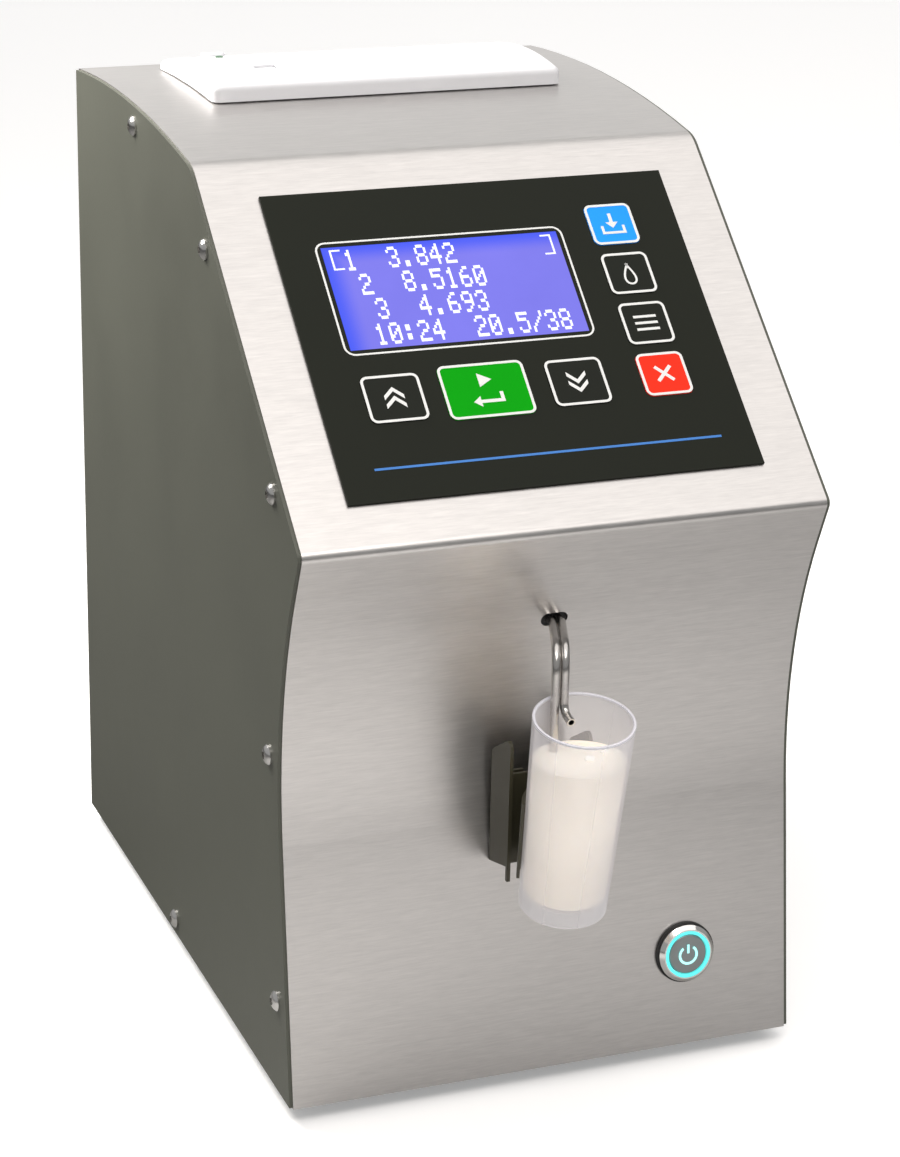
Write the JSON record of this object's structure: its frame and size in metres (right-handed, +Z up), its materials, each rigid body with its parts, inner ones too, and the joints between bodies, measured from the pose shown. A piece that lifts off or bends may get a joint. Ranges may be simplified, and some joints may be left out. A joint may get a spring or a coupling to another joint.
{
  "type": "milk analyzer",
  "caption": "Bench milk analyzer with a folded steel housing, sloped display and key panel, strip printer in the top, lit power button, and two tubes dipping into a cup on a clip.",
  "frame": {"origin": "on the table under the centre of the whole object's bounding box", "axes": "+Z up, -Y out of the front with the cup, +X to the right seen from the front"},
  "size_m": [0.1554, 0.2606, 0.2621],
  "materials": {
    "cover_steel": "brushed across the width",
    "painted_sheet": "fine textured satin",
    "dark_sheet": "satin",
    "screw_steel": "polished",
    "black_rubber": "matte",
    "overlay_film": "satin printed film",
    "display_screen": "gloss, blue display",
    "display_glass": "clear",
    "dark_metal": "satin",
    "circuit_board": "satin",
    "chip_black": "matte",
    "plated_metal": "satin",
    "black_plastic": "satin",
    "key_blue": "satin",
    "key_green": "satin",
    "key_red": "satin",
    "key_dark": "satin",
    "chrome_metal": "polished",
    "light_ring": "lit",
    "cap_grey": "satin",
    "tube_steel": "polished",
    "cup_plastic": "frosted, translucent",
    "printer_white": "satin",
    "led_green": "gloss",
    "paper_white": "matte",
    "cell_metal": "satin",
    "pump_plastic": "satin",
    "clear_hose": "clear silicone"
  },
  "bodies": {
    "housing": {"front_cover": "cover_steel", "side_panel_left": "painted_sheet", "side_panel_right": "painted_sheet", "rear_panel": "painted_sheet", "base_plate": "painted_sheet", "cup_bracket": "dark_sheet", "cup_clip": "dark_sheet", "cell_bracket": "dark_sheet", "pump_bracket": "dark_sheet", "side_screws_left": "screw_steel", "side_screws_right": "screw_steel", "rear_screws": "screw_steel", "foot_screws": "screw_steel", "bracket_screws": "screw_steel", "rubber_feet": "black_rubber", "power_button_seal": "black_rubber", "tube_grommet": "black_rubber", "keypad_overlay": "overlay_film", "display_window": "display_screen", "lcd_glass": "display_glass", "lcd_frame": "dark_metal", "power_button_nut": "dark_metal", "lcd_board": "circuit_board", "keypad_board": "circuit_board", "main_board": "circuit_board", "board_chips": "chip_black", "serial_port": "plated_metal", "dc_inlet": "black_plastic", "power_button_body": "chrome_metal", "power_light_ring": "light_ring", "intake_tube": "tube_steel", "return_tube": "tube_steel", "lid_hinge_pin": "tube_steel", "printer_bezel": "printer_white", "printer_body": "printer_white", "printer_led": "led_green", "measuring_cell": "cell_metal", "ultrasonic_sensors": "cell_metal", "pump_motor": "cell_metal", "pump_housing": "pump_plastic", "pump_hose": "clear_hose", "hoses": "clear_hose"},
    "sample_cup": {"sample_cup": "cup_plastic"},
    "printer_lid": {"printer_lid": "printer_white"},
    "platen_roller": {"platen_roller": "black_rubber"},
    "paper_roll": {"paper_roll": "paper_white"},
    "feed_button": {"feed_button": "printer_white"},
    "release_button": {"release_button": "printer_white"},
    "power_button_cap": {"power_button_cap": "cap_grey"},
    "pump_rotor": {"pump_rotor": "tube_steel"},
    "pump_roller_1": {"pump_roller_1": "pump_plastic"},
    "pump_roller_2": {"pump_roller_2": "pump_plastic"},
    "pump_roller_3": {"pump_roller_3": "pump_plastic"},
    "key_save": {"key_save": "key_blue"},
    "key_clean": {"key_clean": "key_dark"},
    "key_menu": {"key_menu": "key_dark"},
    "key_exit": {"key_exit": "key_red"},
    "key_up": {"key_up": "key_dark"},
    "key_start": {"key_start": "key_green"},
    "key_down": {"key_down": "key_dark"}
  },
  "joints": [
    {"name": "lid_hinge", "type": "hinge", "parent": "housing", "child": "printer_lid", "pos_m": [0, 0.10285, 0.25565], "axis": [-1, 0, 0], "range_deg": [0, 85]},
    {"name": "platen_spin", "type": "hinge", "parent": "printer_lid", "child": "platen_roller", "pos_m": [0, 0.06585, 0.2523], "axis": [1, 0, 0], "continuous": true},
    {"name": "paper_spin", "type": "hinge", "parent": "housing", "child": "paper_roll", "pos_m": [0, 0.08535, 0.2281], "axis": [1, 0, 0], "continuous": true},
    {"name": "feed_press", "type": "slide", "parent": "housing", "child": "feed_button", "axis": [0, 0, -1], "range_m": [0, 0.001], "stiffness_N_per_m": 600},
    {"name": "release_press", "type": "slide", "parent": "housing", "child": "release_button", "axis": [0, 0, -1], "range_m": [0, 0.0015], "stiffness_N_per_m": 600},
    {"name": "power_press", "type": "slide", "parent": "housing", "child": "power_button_cap", "axis": [0, 0.9917, -0.1289], "range_m": [0, 0.002], "stiffness_N_per_m": 600},
    {"name": "cup_slide", "type": "slide", "parent": "housing", "child": "sample_cup", "axis": [0, 0, -1], "range_m": [0, 0.055]},
    {"name": "pump_spin", "type": "hinge", "parent": "housing", "child": "pump_rotor", "pos_m": [0.035, -0.00715, 0.067], "axis": [0, -1, 0], "continuous": true},
    {"name": "roller_spin_1", "type": "hinge", "parent": "pump_rotor", "child": "pump_roller_1", "pos_m": [0.035, -0.01366, 0.0776], "axis": [0, -1, 0], "continuous": true},
    {"name": "roller_spin_2", "type": "hinge", "parent": "pump_rotor", "child": "pump_roller_2", "pos_m": [0.04418, -0.01366, 0.0617], "axis": [0, -1, 0], "continuous": true},
    {"name": "roller_spin_3", "type": "hinge", "parent": "pump_rotor", "child": "pump_roller_3", "pos_m": [0.02582, -0.01366, 0.0617], "axis": [0, -1, 0], "continuous": true},
    {"name": "key_save_press", "type": "slide", "parent": "housing", "child": "key_save", "axis": [0, 0.6414, -0.7672], "range_m": [0, 0.0004], "stiffness_N_per_m": 600},
    {"name": "key_clean_press", "type": "slide", "parent": "housing", "child": "key_clean", "axis": [0, 0.6414, -0.7672], "range_m": [0, 0.0004], "stiffness_N_per_m": 600},
    {"name": "key_menu_press", "type": "slide", "parent": "housing", "child": "key_menu", "axis": [0, 0.6414, -0.7672], "range_m": [0, 0.0004], "stiffness_N_per_m": 600},
    {"name": "key_exit_press", "type": "slide", "parent": "housing", "child": "key_exit", "axis": [0, 0.6414, -0.7672], "range_m": [0, 0.0004], "stiffness_N_per_m": 600},
    {"name": "key_up_press", "type": "slide", "parent": "housing", "child": "key_up", "axis": [0, 0.6414, -0.7672], "range_m": [0, 0.0004], "stiffness_N_per_m": 600},
    {"name": "key_start_press", "type": "slide", "parent": "housing", "child": "key_start", "axis": [0, 0.6414, -0.7672], "range_m": [0, 0.0004], "stiffness_N_per_m": 600},
    {"name": "key_down_press", "type": "slide", "parent": "housing", "child": "key_down", "axis": [0, 0.6414, -0.7672], "range_m": [0, 0.0004], "stiffness_N_per_m": 600}
  ],
  "couplings": [
    {"joint": "platen_spin", "follows": "paper_spin", "ratio": 4.7059},
    {"joint": "roller_spin_1", "follows": "pump_spin", "ratio": -3.65},
    {"joint": "roller_spin_2", "follows": "pump_spin", "ratio": -3.65},
    {"joint": "roller_spin_3", "follows": "pump_spin", "ratio": -3.65}
  ]
}
